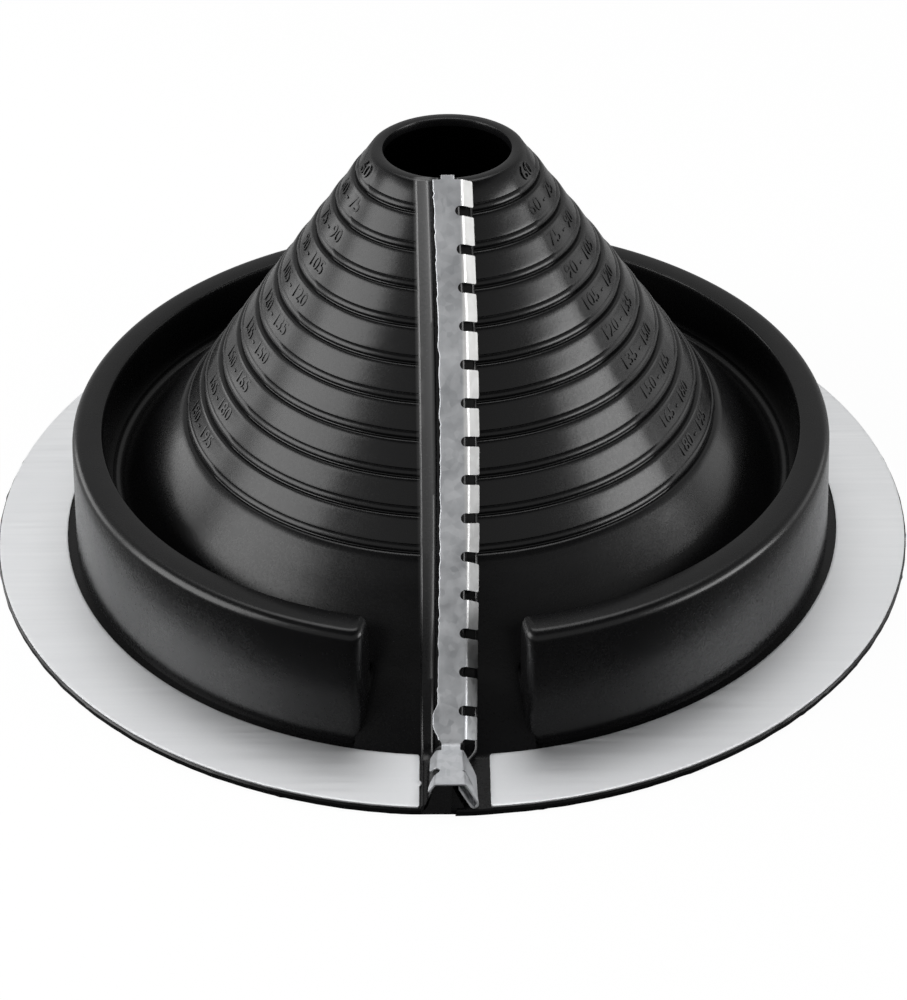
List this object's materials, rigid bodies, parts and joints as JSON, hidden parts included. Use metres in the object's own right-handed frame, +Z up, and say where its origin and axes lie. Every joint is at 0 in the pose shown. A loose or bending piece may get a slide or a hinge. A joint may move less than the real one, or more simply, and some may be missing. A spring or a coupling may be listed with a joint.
{
  "type": "pipe flashing boot",
  "caption": "Stepped cone pipe boot with a hollow C-shaped upstand, a split metal clamping ring on its base flange and a folded seam strip that closes its slit.",
  "frame": {"origin": "centre of the flat underside of the base, on the cone's axis", "axes": "+Z up along the cone's axis, -Y towards the seam and its strip, +X to the right seen from the seam"},
  "size_m": [0.352, 0.3519, 0.1636],
  "materials": {
    "rubber": "satin moulded rubber",
    "ring_metal": "soft rolled sheet",
    "strip_metal": "zinc coated sheet"
  },
  "bodies": {
    "root": {"rubber_boot": "rubber", "base_ring": "ring_metal", "closure_strip": "strip_metal"}
  },
  "joints": []
}
